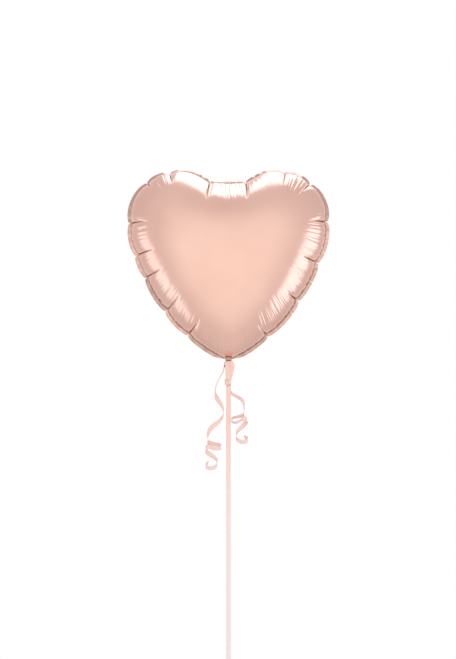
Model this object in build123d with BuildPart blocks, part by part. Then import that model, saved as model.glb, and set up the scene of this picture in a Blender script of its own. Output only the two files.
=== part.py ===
"""Heart-shaped foil balloon with its ribbon, in millimetres.

The heart lies in the XZ plane with its front face towards -Y. The origin is the middle of the
tie, where ribbon is wound round the gathered neck. The balloon is above it and the ribbon
hangs below.
"""

import os
from math import asin, cos, degrees, radians, sin

from build123d import *

# ---- Driving dimensions ---------------------------------------------------------------

# Seam outline of the inflated heart, right half: four tangent arcs from the valley to the tip.
VALLEY_Z = 334.0  # height of the seam in the middle of the valley
VALLEY_R, VALLEY_TURN = 125.0, 26.0
CROWN_R, CROWN_TURN = 88.0, 110.0
HIP_R, HIP_TURN = 155.0, 26.0
FLANK_R = 376.0

SEAM_MARGIN = 7.0  # flat welded rim outside the seam
FILM = 0.6  # wall of each panel
HALF_DEPTH = 85.0  # from the seam plane to the crown of one panel
BODY_RADIUS = 150.0  # radius of the largest circle inside the seam
BODY_Z = 205.0  # height of that circle's centre
BULGE = 0.6  # exponent of the panel's profile: 0.5 is an ellipse, more is flatter at the seam
INSETS = (0.0, 1.0, 3.0, 7.0, 13.0, 21.0, 31.0, 43.0, 56.0, 70.0)  # seam-parallel sections
SHRINKS = (0.8, 0.6, 0.4, 0.2)  # sections nearer the crown, as shares of the innermost inset
NECK_TOP_Z = 6.5  # the panels stop here, where the neck is gathered

VALVE_FILM = 0.3
VALVE_GAP = 0.3
VALVE_BOTTOM_Z, VALVE_SHOULDER_Z, VALVE_TOP_Z = 16.0, 34.0, 118.0
VALVE_BOTTOM_WIDTH, VALVE_WIDTH = 8.0, 24.0

CORE_R = 4.4  # the gathered neck inside the tie
CORE_CHAMFER = 0.5
TIE_HEIGHT = 7.0
TURN_R, TURN_RING_R = 1.8, 6.4  # one turn of ribbon, and the circle it follows
TURN_RISE = 1.7  # each turn's height above or below the origin

RIBBON_WIDTH = 8.5
RIBBON = 0.5  # thickness that stands for the real ribbon's 0.15
STRAND_TOP_Z, STRAND_BOTTOM_Z = -6.0, -30.5
LEFT_STRAND_X = (-1.35, -0.2)  # centre of the strand at its top and at its bottom
RIGHT_STRAND_X = (7.5, 0.6)
LEFT_STRAND_Y, RIGHT_STRAND_Y = -1.1, -0.4
TAIL_TOP_WIDTH, TAIL_BOTTOM_WIDTH, TAIL_THICKNESS = 14.0, 7.5, 1.4
TAIL_X = (1.0, 0.0)  # centre at the top and at the bottom
TAIL_Y = 0.9
TAIL_BOTTOM_Z = -29.0

KNOT_X, KNOT_Z = -1.4, -36.0
KNOT_SIZE = (11.8, 6.0, 10.0)
KNOT_ROUND = 2.6
RIBBON_TOP_Z, RIBBON_BOTTOM_Z = -44.0, -559.5
LOOP_KNOT_Z = -565.0
LOOP_KNOT_SIZE = (12.0, 6.0, 10.0)
LOOP_R, LOOP_Z = 27.0, -622.0  # round end of the hand loop
LOOP_NECK_R, LOOP_NECK_Z = 1.6, -574.0

STEM_D = 3.0  # tube that stands for a tail of ribbon where it isn't coiled
ARC_SHARE = 0.45  # how much of the shorter run each corner's arc may take
LEFT_STEM = [
    (-7.6, 0.0, -5.5),
    (-10.5, -5.0, -20.0),
    (-19.0, -8.0, -35.0),
    (-26.5, -2.0, -51.0),
    (-21.5, 7.0, -67.0),
    (-11.5, 8.0, -80.0),
    (-8.0, -1.0, -95.0),
    (-17.0, -11.0, -109.0),
    (-33.0, -11.0, -122.0),
    (-39.0, -2.0, -136.0),
    (-38.5, 0.0, -147.0),
]
LEFT_COIL_X, LEFT_COIL_R = -27.0, 15.0
LEFT_COIL_Z = (-147.7, -201.0)
LEAD_Y = 0.8
LEAD_X = (-3.5, 4.2)
LEAD_Z = (-43.0, -56.0)
RIGHT_STEM = [
    (6.6, 0.8, -54.0),
    (15.0, -4.0, -59.0),
    (25.0, -6.0, -67.0),
    (31.0, -2.0, -80.0),
    (30.0, 3.0, -92.0),
    (28.0, 3.0, -101.0),
]
RIGHT_COIL_X, RIGHT_COIL_R = 21.2, 15.5
RIGHT_COIL_Z = (-101.9, -150.0)
COIL_TOP_ROUND, COIL_BOTTOM_ROUND = 1.0, 5.0

os.makedirs("parts", exist_ok=True)


def write(piece, name):
    """Label a finished piece and write it as its own STEP file."""
    piece.part.label = name
    export_step(piece.part, f"parts/{name}.step")
    print(f"{name:18s} {piece.part.volume / 1000:9.2f} cm3")


# ---- The two panels -------------------------------------------------------------------


def flank_turn(start, heading, radius):
    """Degrees that the flank turns through before it meets the heart's middle line."""
    centre_x = start.X + radius * sin(radians(heading))
    return 180.0 + heading + degrees(asin(centre_x / radius))


def heart_lines(inset, shrink=1.0):
    """Draw the seam outline, moved in by inset and then shrunk about the heart's middle."""
    valley_z = BODY_Z + (VALLEY_Z - inset - BODY_Z) * shrink
    valley = JernArc((0, valley_z), (1, 0), (VALLEY_R + inset) * shrink, VALLEY_TURN)
    crown = JernArc(valley @ 1, valley % 1, (CROWN_R - inset) * shrink, -CROWN_TURN)
    hip = JernArc(crown @ 1, crown % 1, (HIP_R - inset) * shrink, -HIP_TURN)
    heading = VALLEY_TURN - CROWN_TURN - HIP_TURN
    flank_r = (FLANK_R - inset) * shrink
    JernArc(hip @ 1, hip % 1, flank_r, -flank_turn(hip @ 1, heading, flank_r))
    mirror(about=Plane.YZ)


def panel_height(inset, shrink=1.0):
    """Height of the panel over the seam plane, from the radius that is left at a section."""
    left = (1 - inset / BODY_RADIUS) * shrink
    return HALF_DEPTH * (1 - left**2) ** BULGE


def panel_sections():
    """Every section of a panel as its inset, its shrink and its height."""
    rows = [(inset, 1.0, panel_height(inset)) for inset in INSETS]
    last = INSETS[-1]
    return rows + [(last, shrink, panel_height(last, shrink)) for shrink in SHRINKS]


with BuildPart() as front_foil:
    for inset, shrink, height in panel_sections():
        with BuildSketch(Plane.XZ.offset(height)):
            with BuildLine():
                heart_lines(inset, shrink)
            make_face()
    loft(ruled=True)
    for inset, shrink, height in panel_sections():
        with BuildSketch(Plane.XZ.offset(max(height - FILM, 0.0))):
            with BuildLine():
                heart_lines(inset + FILM, shrink)
            make_face()
    loft(ruled=True, mode=Mode.SUBTRACT)
    with BuildSketch(Plane.XZ):
        with BuildLine():
            heart_lines(-SEAM_MARGIN)
        make_face()
        with BuildLine():
            heart_lines(FILM)
        make_face(mode=Mode.SUBTRACT)
    extrude(amount=FILM)
    split(bisect_by=Plane.XY.offset(NECK_TOP_Z), keep=Keep.TOP)
write(front_foil, "front_foil")

with BuildPart() as back_foil:
    add(front_foil.part)
    mirror(about=Plane.XZ, mode=Mode.REPLACE)
write(back_foil, "back_foil")

# ---- The self-sealing valve inside the neck -------------------------------------------


def valve_film(side):
    """Draw one film of the valve, a tapered strip beside the seam plane, on side -1 or +1."""
    with BuildSketch(Plane.XZ.offset(-side * VALVE_GAP / 2)) as profile:
        with BuildLine():
            Polyline(
                (-VALVE_BOTTOM_WIDTH / 2, VALVE_BOTTOM_Z),
                (VALVE_BOTTOM_WIDTH / 2, VALVE_BOTTOM_Z),
                (VALVE_WIDTH / 2, VALVE_SHOULDER_Z),
                (VALVE_WIDTH / 2, VALVE_TOP_Z),
                (-VALVE_WIDTH / 2, VALVE_TOP_Z),
                (-VALVE_WIDTH / 2, VALVE_SHOULDER_Z),
                close=True,
            )
        make_face()
    extrude(profile.sketch, amount=-side * VALVE_FILM)


with BuildPart() as valve_front_film:
    valve_film(-1)
write(valve_front_film, "valve_front_film")

with BuildPart() as valve_back_film:
    valve_film(1)
write(valve_back_film, "valve_back_film")

# ---- The tie: gathered neck with two turns of ribbon ----------------------------------

with BuildPart() as neck_gather:
    Cylinder(CORE_R, TIE_HEIGHT)
    chamfer(neck_gather.edges().filter_by(GeomType.CIRCLE), CORE_CHAMFER)
write(neck_gather, "neck_gather")

with BuildPart() as neck_wrap:
    with Locations((0, 0, TURN_RISE), (0, 0, -TURN_RISE)):
        Torus(TURN_RING_R, TURN_R)
write(neck_wrap, "neck_wrap")

# ---- The two strands, the film tail and the knot that draws them together -------------


def tapered_strip(top_x, bottom_x, top_z, bottom_z, widths, thickness, middle_y):
    """A flat strip between two heights, with its own centre and width at each end."""
    top, bottom = widths[0] / 2, widths[1] / 2
    with BuildSketch(Plane.XZ.offset(-middle_y - thickness / 2)) as profile:
        with BuildLine():
            Polyline(
                (top_x - top, top_z),
                (top_x + top, top_z),
                (bottom_x + bottom, bottom_z),
                (bottom_x - bottom, bottom_z),
                close=True,
            )
        make_face()
    extrude(profile.sketch, amount=thickness)


STRAND_WIDTHS = (RIBBON_WIDTH, RIBBON_WIDTH)

with BuildPart() as left_strand:
    tapered_strip(
        *LEFT_STRAND_X, STRAND_TOP_Z, STRAND_BOTTOM_Z, STRAND_WIDTHS, RIBBON, LEFT_STRAND_Y
    )
write(left_strand, "left_strand")

with BuildPart() as right_strand:
    tapered_strip(
        *RIGHT_STRAND_X, STRAND_TOP_Z, STRAND_BOTTOM_Z, STRAND_WIDTHS, RIBBON, RIGHT_STRAND_Y
    )
write(right_strand, "right_strand")

with BuildPart() as film_tail:
    tapered_strip(
        *TAIL_X,
        STRAND_TOP_Z,
        TAIL_BOTTOM_Z,
        (TAIL_TOP_WIDTH, TAIL_BOTTOM_WIDTH),
        TAIL_THICKNESS,
        TAIL_Y,
    )
write(film_tail, "film_tail")


def rounded_knot(size, x, z):
    """A pulled-tight knot: a block with every edge rounded."""
    with Locations((x, 0, z)):
        block = Box(*size)
    fillet(block.edges(), KNOT_ROUND)


with BuildPart() as ribbon_knot:
    rounded_knot(KNOT_SIZE, KNOT_X, KNOT_Z)
write(ribbon_knot, "ribbon_knot")

# ---- The long ribbon and its hand loop ------------------------------------------------

with BuildPart() as long_ribbon:
    with Locations((0, 0, (RIBBON_TOP_Z + RIBBON_BOTTOM_Z) / 2)):
        Box(RIBBON_WIDTH, RIBBON, RIBBON_TOP_Z - RIBBON_BOTTOM_Z)
write(long_ribbon, "long_ribbon")

with BuildPart() as loop_knot:
    rounded_knot(LOOP_KNOT_SIZE, 0, LOOP_KNOT_Z)
write(loop_knot, "loop_knot")

with BuildPart() as hand_loop:
    with BuildSketch(Plane.YZ.offset(-RIBBON_WIDTH / 2)):
        with Locations((0, LOOP_Z)):
            Circle(LOOP_R)
        with Locations((0, LOOP_NECK_Z)):
            Circle(LOOP_NECK_R)
        make_hull()
        offset(amount=-RIBBON, mode=Mode.SUBTRACT)
    extrude(amount=RIBBON_WIDTH)
write(hand_loop, "hand_loop")

# ---- The two curled tails -------------------------------------------------------------


def largest_radii(points):
    """The radius of each corner's arc, as large as its two runs allow."""
    corners = [Vector(*point) for point in points]
    radii = []
    for before, here, after in zip(corners, corners[1:], corners[2:]):
        first, second = here - before, after - here
        half_turn = radians(first.get_angle(second) / 2)
        run = ARC_SHARE * min(first.length, second.length)
        radii.append(run * cos(half_turn) / sin(half_turn))
    return radii


def stem(points, name):
    """A tube along straight runs joined by tangent arcs."""
    radii = largest_radii(points)
    with BuildLine() as route:
        FilletPolyline(*points, radius=radii)
    with BuildSketch(Plane(origin=route.wire() @ 0, z_dir=route.wire() % 0)) as section:
        Circle(STEM_D / 2)
    sweep(section.sketch, path=route.wire())
    length = route.wire().length
    print(name, "length", round(length, 1), "radii", [round(r, 1) for r in radii])


def coil(x, radius, z_range):
    """The outer shape of the turns at the end of a tail."""
    with BuildSketch(Plane.XY.offset(z_range[1])) as outline:
        with Locations((x, 0)):
            Circle(radius)
    extrude(outline.sketch, amount=z_range[0] - z_range[1])


with BuildPart() as left_curl_stem:
    stem(LEFT_STEM, "left stem")
write(left_curl_stem, "left_curl_stem")

with BuildPart() as left_curl_coil:
    coil(LEFT_COIL_X, LEFT_COIL_R, LEFT_COIL_Z)
    fillet(left_curl_coil.edges().sort_by(Axis.Z)[-1], COIL_TOP_ROUND)
    fillet(left_curl_coil.edges().sort_by(Axis.Z)[0], COIL_BOTTOM_ROUND)
write(left_curl_coil, "left_curl_coil")

with BuildPart() as right_curl_lead:
    with BuildSketch(Plane.XZ.offset(-LEAD_Y - RIBBON / 2)):
        with Locations(((LEAD_X[0] + LEAD_X[1]) / 2, (LEAD_Z[0] + LEAD_Z[1]) / 2)):
            Rectangle(LEAD_X[1] - LEAD_X[0], LEAD_Z[0] - LEAD_Z[1])
    extrude(amount=RIBBON)
write(right_curl_lead, "right_curl_lead")

with BuildPart() as right_curl_stem:
    stem(RIGHT_STEM, "right stem")
write(right_curl_stem, "right_curl_stem")

with BuildPart() as right_curl_coil:
    coil(RIGHT_COIL_X, RIGHT_COIL_R, RIGHT_COIL_Z)
    fillet(right_curl_coil.edges().sort_by(Axis.Z)[-1], COIL_TOP_ROUND)
    fillet(right_curl_coil.edges().sort_by(Axis.Z)[0], COIL_BOTTOM_ROUND)
write(right_curl_coil, "right_curl_coil")
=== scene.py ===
"""Looks of the heart-shaped foil balloon and its ribbon, in metres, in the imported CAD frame.

The heart lies in the XZ plane with its front face towards -Y. The origin is the middle of the
tie. The camera and the ribbons come first, then the foil, the neck, materials and light.
"""

import math

import bpy
import numpy as np
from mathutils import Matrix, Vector


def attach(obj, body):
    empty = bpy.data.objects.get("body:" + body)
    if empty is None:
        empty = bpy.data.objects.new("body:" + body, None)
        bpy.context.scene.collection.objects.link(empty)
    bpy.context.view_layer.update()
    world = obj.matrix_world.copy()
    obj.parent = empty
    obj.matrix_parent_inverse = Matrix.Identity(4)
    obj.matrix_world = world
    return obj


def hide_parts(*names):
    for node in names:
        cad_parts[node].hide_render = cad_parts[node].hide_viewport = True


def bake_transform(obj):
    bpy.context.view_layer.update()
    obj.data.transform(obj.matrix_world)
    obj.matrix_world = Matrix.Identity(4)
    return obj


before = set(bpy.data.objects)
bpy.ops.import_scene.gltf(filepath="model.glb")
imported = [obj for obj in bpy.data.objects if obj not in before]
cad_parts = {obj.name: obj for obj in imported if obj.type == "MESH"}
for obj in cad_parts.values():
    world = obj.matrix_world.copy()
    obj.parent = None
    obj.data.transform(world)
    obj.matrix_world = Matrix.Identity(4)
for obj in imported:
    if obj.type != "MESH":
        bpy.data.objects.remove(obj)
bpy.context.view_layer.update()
MM = 0.001

# ---- Driving dimensions ----

# Seam outline of the inflated heart, right half: tangent arcs from the valley to the tip.
VALLEY_Z = 334 * MM
VALLEY_R, VALLEY_TURN = 125 * MM, math.radians(26)
CROWN_R, CROWN_TURN = 88 * MM, math.radians(110)
HIP_R, HIP_TURN = 155 * MM, math.radians(26)
FLANK_R = 376 * MM
RIM = 7 * MM  # flat welded rim outside the seam
HALF_DEPTH = 85 * MM  # from the seam plane to the crown of one panel
BODY_RADIUS = 150 * MM  # radius of the largest circle inside the seam
BODY_Z = 205 * MM  # height of that circle's centre
DEEPEST_INSET = 70 * MM  # further in, the rings only shrink

RIBBON_WIDTH = 8.5 * MM
RIBBON = 0.3 * MM  # its thickness
KNOT_CENTRE = Vector((-1.4, 0, -36)) * MM
LOOP_KNOT_CENTRE = Vector((0, 0, -565)) * MM

# ---- Camera ----

CAMERA_DISTANCE = 2.5
CAMERA_X, CAMERA_Z = -0.8 * MM, 62.4 * MM
PICTURE_HEIGHT = 1.2277  # metres at the object that fill the picture from top to bottom


def make_camera():
    """A level camera in front of the balloon, with a plain lens."""
    data = bpy.data.cameras.new("camera")
    data.lens = data.sensor_width * CAMERA_DISTANCE / PICTURE_HEIGHT
    camera = bpy.data.objects.new("camera", data)
    camera.location = (CAMERA_X, -CAMERA_DISTANCE, CAMERA_Z)
    camera.rotation_euler = (math.radians(90), 0, 0)
    bpy.context.scene.collection.objects.link(camera)
    bpy.context.scene.camera = camera


make_camera()

# ---- Mesh and ribbon helpers ----


def make_mesh(name, points, faces):
    """A smooth-shaded mesh object with no parent."""
    mesh = bpy.data.meshes.new(name)
    mesh.from_pydata([tuple(map(float, p)) for p in points], [], faces)
    mesh.update()
    mesh.polygons.foreach_set("use_smooth", [True] * len(mesh.polygons))
    piece = bpy.data.objects.new(name, mesh)
    bpy.context.scene.collection.objects.link(piece)
    return piece


LINE_STEP = 1.5 * MM  # between the points of a cord's line


def smooth_line(points, spacing=LINE_STEP):
    """Even points along the smooth curve that a cord's given points steer."""
    curve = bpy.data.curves.new("line", "CURVE")
    curve.dimensions = "3D"
    curve.resolution_u = 16
    spline = curve.splines.new("NURBS")
    spline.points.add(len(points) - 1)
    for control, point in zip(spline.points, points):
        control.co = (*point, 1)
    spline.order_u = 3
    spline.use_endpoint_u = True
    holder = bpy.data.objects.new("line", curve)
    bpy.context.scene.collection.objects.link(holder)
    bpy.context.view_layer.update()
    mesh = bpy.data.meshes.new_from_object(holder)
    line = np.array([v.co for v in mesh.vertices], float)
    bpy.data.objects.remove(holder)
    bpy.data.curves.remove(curve)
    bpy.data.meshes.remove(mesh)
    return even_points(line, spacing)


def even_points(line, spacing):
    """The same line with points at an even distance."""
    steps = np.linalg.norm(np.diff(line, axis=0), axis=1)
    along = np.r_[0, np.cumsum(steps)]
    at = np.linspace(0, along[-1], max(2, round(along[-1] / spacing) + 1))
    return np.stack([np.interp(at, along, line[:, k]) for k in range(3)], 1)


def unit(vectors):
    """Each row scaled to length 1."""
    return vectors / np.maximum(np.linalg.norm(vectors, axis=-1, keepdims=True), 1e-12)


def soften(values, passes):
    """Rows averaged with their neighbours, ends kept."""
    for _ in range(passes):
        values[1:-1] = (values[:-2] + 2 * values[1:-1] + values[2:]) / 4
    return values


def tube_faces(count, around, inside_out=False):
    """Faces of a closed tube of count rings, with a cap at each end."""
    faces = []
    for i in range(count - 1):
        here, following = i * around, (i + 1) * around
        for j in range(around):
            k = (j + 1) % around
            a, b = (k, j) if inside_out else (j, k)
            faces.append((here + a, here + b, following + b, following + a))
    caps = [tuple(range(around))[::-1], tuple((count - 1) * around + j for j in range(around))]
    return faces + [cap[::-1] if inside_out else cap for cap in caps]


ACROSS = np.linspace(-1, 1, 7)  # places across a ribbon, from edge to edge
BUNCH_WAVES = 2.5  # half waves from the middle of a bunched ribbon to its edge


def ribbon_strip(name, line, side, width=RIBBON_WIDTH, cup=0.35 * MM, slant=0.0, pleats=0.0):
    """A closed thin strip along line. side points across it, cup bows it and slant cuts its end."""
    tangent = unit(np.gradient(line, axis=0))
    side = unit(side - np.sum(side * tangent, axis=1, keepdims=True) * tangent)
    face = np.cross(tangent, side)
    bow = cup * (1 - ACROSS**2) + pleats * np.cos(ACROSS * BUNCH_WAVES * math.pi)
    sections = []
    for offset in (RIBBON / 2, -RIBBON / 2):
        rows = line[:, None] + side[:, None] * (ACROSS * width / 2)[:, None]
        rows = rows + face[:, None] * (bow + offset)[:, None]
        rows[-1] += tangent[-1] * (ACROSS * slant)[:, None]
        sections.append(rows)
    ring = np.concatenate([sections[0], sections[1][:, ::-1]], axis=1)
    return make_mesh(name, ring.reshape(-1, 3), tube_faces(*ring.shape[:2]))


# ---- The long ribbon, its knot and the hand loop ----

# The hand loop hangs from its knot: the crossing, one side, the round end and the other side.
LOOP_TOP = (0, 0, -569)
LOOP_NECK, LOOP_NECK_Z = 2.0, -574
LOOP_R, LOOP_Z = 26.7, -622
LOOP_TURNS = range(-24, 205, 12)  # degrees round the loop's middle
RIBBON_TOP_Z, RIBBON_MIDDLE_Z, RIBBON_BOTTOM_Z = -40 * MM, -300 * MM, -562 * MM
HANG_STEP = 6 * MM  # between the points of the hanging ribbon's line


def loop_points():
    """Control points of the hand loop in the plane x = 0, in metres."""
    points = [LOOP_TOP, (0, LOOP_NECK, LOOP_NECK_Z)]
    for degrees in LOOP_TURNS:
        turn = math.radians(degrees)
        points.append((0, LOOP_R * math.cos(turn), LOOP_Z - LOOP_R * math.sin(turn)))
    points += [(0, -LOOP_NECK, LOOP_NECK_Z), LOOP_TOP]
    return np.array(points) * MM


def same_side(line, direction):
    """The same direction across the ribbon at every point of line."""
    return np.tile(np.array(direction, float), (len(line), 1))


hang = smooth_line([(0, 0, z) for z in (RIBBON_TOP_Z, RIBBON_MIDDLE_Z, RIBBON_BOTTOM_Z)], HANG_STEP)
hanging_ribbon = ribbon_strip("hanging_ribbon", hang, same_side(hang, (1, 0, 0)), cup=0.25 * MM)
loop_line = smooth_line(loop_points())
hand_loop = ribbon_strip("hand_loop_ribbon", loop_line, same_side(loop_line, (1, 0, 0)), cup=0.2 * MM)

# ---- The two curled tails ----

LEFT_STEM = [
    (-6.8, 0.0, -2.0), (-8.2, -1.5, -9.0), (-10.5, -5.0, -18.0), (-18.5, -8.0, -31.0),
    (-25.5, -3.0, -49.0), (-23.5, 5.0, -64.0), (-13.0, 8.5, -78.0), (-7.0, 1.0, -93.0),
    (-15.0, -9.0, -107.0), (-32.0, -11.0, -119.0), (-39.5, -4.0, -134.0),
]
RIGHT_LEAD = [(-0.5, 1.5, -39.0), (0.2, 4.0, -47.0), (2.4, 4.4, -54.0)]
RIGHT_STEM = [
    (7.5, 2.5, -58.5), (16.0, -3.0, -62.5), (26.0, -6.0, -68.5), (29.5, -4.0, -80.0),
    (29.5, -1.5, -92.0),
]
# Each coil by its turn in degrees, its middle's x, its radius and its middle's height.
LEFT_COIL = [
    (0, -26, 12.8, -148.5), (90, -26, 12.8, -157), (180, -26, 12.8, -156.2),
    (270, -26, 12.5, -153.5), (320, -28, 12, -151.5), (360, -31, 12, -160), (400, -31, 12, -170),
    (450, -31, 12, -178), (540, -31, 10.6, -187), (630, -32, 10.6, -191.5),
    (720, -32, 10.6, -191.5), (790, -32, 10, -190.5),
]
RIGHT_COIL = [
    (0, 18, 11.5, -99), (90, 15, 10, -105), (180, 14, 8.6, -105.5), (225, 13.5, 8.6, -107.3),
    (270, 14, 9, -107.8), (300, 14.5, 9, -105.5), (330, 18, 10, -102), (345, 19.5, 12, -101.6),
    (370, 23.4, 13, -107), (450, 25, 12, -125), (540, 25, 11.4, -137), (630, 25, 11.4, -142.5),
    (720, 25, 11.4, -142.5), (790, 25, 10.5, -142.5),
]
TURN_STEP = 20  # degrees between the points of a coil
COIL_FLATNESS = 0.8  # a coil's size from front to back over its size across
COIL_TILT = 0.46  # rise of a turn from its front to its back
SIDE_SOFTENING = 12  # passes that even out how a ribbon turns over
# The middle of each tail by height: z, x and how far its turns tilt to the front.
LEFT_AXIS = [
    (-50, -17, COIL_TILT), (-136, -26, COIL_TILT), (-147, -27, 0.6), (-161, -27, 0.6),
    (-170, -30, COIL_TILT), (-195, -32, COIL_TILT),
]
RIGHT_AXIS = [
    (-60, 19, COIL_TILT), (-88, 16, COIL_TILT), (-95, 15, 1.5), (-111, 16, 1.5),
    (-120, 25, COIL_TILT),
]


def coil_points(rows, start, sign):
    """Points of a coil, from the turn start. sign is -1 where it starts on the left."""
    turns, middles, radii, heights = np.array(rows, float).T
    at = np.arange(start, turns[-1] + 1, TURN_STEP)
    middle, radius = np.interp(at, turns, middles), np.interp(at, turns, radii)
    angle = np.radians(at)
    x = middle + sign * radius * np.cos(angle)
    y = radius * COIL_FLATNESS * np.sin(angle)
    return np.stack([x, y, np.interp(at, turns, heights) + COIL_TILT * y], 1)


def winding_side(line, axis, start, hold, turn):
    """The direction across a ribbon that winds round a leaning axis.

    It keeps its own direction at first, for the length hold, and turns over the next length.
    """
    heights, middles, tilts = np.array(axis[::-1], float).T
    height = line[:, 2] / MM
    out = line[:, 0] - np.interp(height, heights, middles) * MM
    radial = np.stack([out, line[:, 1], np.interp(height, heights, tilts) * line[:, 1]], 1)
    tangent = unit(np.gradient(line, axis=0))
    side = unit(np.cross(tangent, radial))
    along = np.arange(len(line)) * LINE_STEP
    share = np.clip((along - hold) / turn, 0, 1)[:, None]
    share = share * share * (3 - 2 * share)
    first = unit(start - np.sum(start * tangent, axis=1, keepdims=True) * tangent)
    meeting = round((hold + turn) / LINE_STEP)
    first *= np.sign(first[meeting] @ side[meeting])
    return soften(first * (1 - share) + side * share, SIDE_SOFTENING)


LEAN_ACROSS, LEAN_BACK = 0.6, 0.8  # the right tail leaves the knot half edge-on
LEFT_LEAN = 0.24  # and the left one almost edge-on
LEFT_HOLD, RIGHT_HOLD = 48 * MM, 34 * MM  # how far each keeps the direction it leaves in
TURN_OVER = 20 * MM  # and the length in which it turns to lie round its coil
LEFT_FROM, RIGHT_FROM = 12, 20  # degrees at which each coil begins
END_SLANT = 2.2 * MM

left_line = smooth_line(np.vstack([LEFT_STEM, coil_points(LEFT_COIL, LEFT_FROM, -1)]) * MM)
left_start = same_side(left_line, (LEFT_LEAN, 1, 0))
left_side = winding_side(left_line, LEFT_AXIS, left_start, LEFT_HOLD, TURN_OVER)
left_curl = ribbon_strip("left_curl_ribbon", left_line, left_side, slant=END_SLANT)
right_route = [RIGHT_LEAD, RIGHT_STEM, coil_points(RIGHT_COIL, RIGHT_FROM, 1)]
right_line = smooth_line(np.vstack(right_route) * MM)
right_start = np.cross(unit(np.gradient(right_line, axis=0)), (0, 1, 0)) * LEAN_ACROSS
right_start += (0, LEAN_BACK, 0)
right_side = winding_side(right_line, RIGHT_AXIS, right_start, RIGHT_HOLD, TURN_OVER)
right_curl = ribbon_strip("right_curl_ribbon", right_line, right_side, slant=-END_SLANT)

# ---- The seam outline and the rings of a panel ----

# Where the film folds in at the seam, as shares of half the seam from the valley to the tip,
# with how far each crease runs into the panel, its strength and its lean.
RIGHT_CREASES = (
    (0.056, 42, 1.0, -0.15),
    (0.192, 28, 0.8, 0.0),
    (0.283, 26, 0.8, 0.0),
    (0.423, 30, 0.9, 0.0),
    (0.562, 34, 1.0, 0.12),
    (0.700, 24, 0.8, 0.3),
    (0.852, 30, 0.5, 0.4),
)
LEFT_CREASES = (
    (0.060, 44, 1.0, 0.08),
    (0.198, 26, 0.8, 0.0),
    (0.281, 13, 0.5, 0.0),
    (0.428, 34, 0.65, 0.06),
    (0.536, 38, 0.8, -0.12),
    (0.614, 34, 0.8, -0.2),
    (0.741, 38, 0.6, -0.14),
    (0.846, 34, 0.7, -0.35),
)

COLUMNS = 760  # columns of the mesh along half the seam
CROWDING, CROWD_WIDTH = 4.0, 3 * MM  # how much closer they are at a main crease
VALLEY_CROWDING = 1.2  # and in the valley
FLANK_SWELL, FLANK_SHARE, FLANK_SPREAD = 4.5 * MM, 0.8, 0.16  # the lower flanks stand out a little
OUTLINE_SAMPLES = 8001  # fine points that the columns are spaced by
COARSE = 4  # one in so many columns carries the solved height
STEEP_RINGS, CROWN_RINGS = 46, 18
ARCS = ((VALLEY_R, VALLEY_TURN), (CROWN_R, CROWN_TURN), (HIP_R, HIP_TURN), (FLANK_R, None))


def half_outline(places, inset):
    """Points (x, z) and outward normals of the right half, moved in by inset.

    A place is an arc's number plus the share of that arc.
    """
    points = np.zeros((len(places), 2))
    normals = np.zeros((len(places), 2))
    x, z, heading = 0.0, VALLEY_Z - inset, 0.0
    for number, (radius, turn) in enumerate(ARCS):
        bend = 1 if number == 0 else -1
        radius = radius + inset * bend
        if turn is None:
            middle_x = x + radius * math.sin(heading)
            turn = math.pi + heading + math.asin(middle_x / radius)
        last = number == len(ARCS) - 1
        here = (places >= number) & ((places < number + 1) | last)
        way = heading + bend * (places[here] - number) * turn
        points[here, 0] = x + bend * radius * (np.sin(way) - math.sin(heading))
        points[here, 1] = z - bend * radius * (np.cos(way) - math.cos(heading))
        normals[here] = np.stack([-np.sin(way), np.cos(way)], 1)
        end = heading + bend * turn
        x += bend * radius * (math.sin(end) - math.sin(heading))
        z -= bend * radius * (math.cos(end) - math.cos(heading))
        heading = end
    return points, normals


def column_places():
    """Places of the columns along half the seam, closer together at the main creases.

    Also their distances from the valley.
    """
    fine = np.linspace(0, len(ARCS), OUTLINE_SAMPLES)
    points, _ = half_outline(fine, 0.0)
    along = np.r_[0, np.cumsum(np.linalg.norm(np.diff(points, axis=0), axis=1))]
    density = np.ones(len(along))
    density += VALLEY_CROWDING * np.exp(-((along / (RIGHT_CREASES[0][0] * along[-1])) ** 4))
    for share, *_ in RIGHT_CREASES + LEFT_CREASES:
        density += CROWDING * np.exp(-(((along - share * along[-1]) / CROWD_WIDTH) ** 2))
    number = np.r_[0, np.cumsum((density[1:] + density[:-1]) / 2 * np.diff(along))]
    distance = np.interp(np.linspace(0, number[-1], COLUMNS + 1), number, along)
    return np.interp(distance, along, fine), distance


PLACES, DISTANCES = column_places()
HALF_SEAM = DISTANCES[-1]
SEAM = np.r_[DISTANCES, -DISTANCES[-2:0:-1]]


def whole_outline(inset, shrink=1.0):
    """Points and normals all round, right half from the valley to the tip and the left half back."""
    points, normals = half_outline(PLACES, inset)
    points[[0, -1], 0] = 0.0
    normals[0], normals[-1] = (0, 1), (0, -1)
    mirror = np.array([-1, 1])
    points = np.vstack([points, points[-2:0:-1] * mirror])
    normals = np.vstack([normals, normals[-2:0:-1] * mirror])
    swell = FLANK_SWELL * np.exp(-(((np.abs(SEAM) / HALF_SEAM - FLANK_SHARE) / FLANK_SPREAD) ** 2))
    fade = np.clip(1 - inset / DEEPEST_INSET, 0, 1) ** 2
    points = points + normals * (swell * fade)[:, None]
    centre = np.array([0, BODY_Z])
    return centre + (points - centre) * shrink, normals


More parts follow.
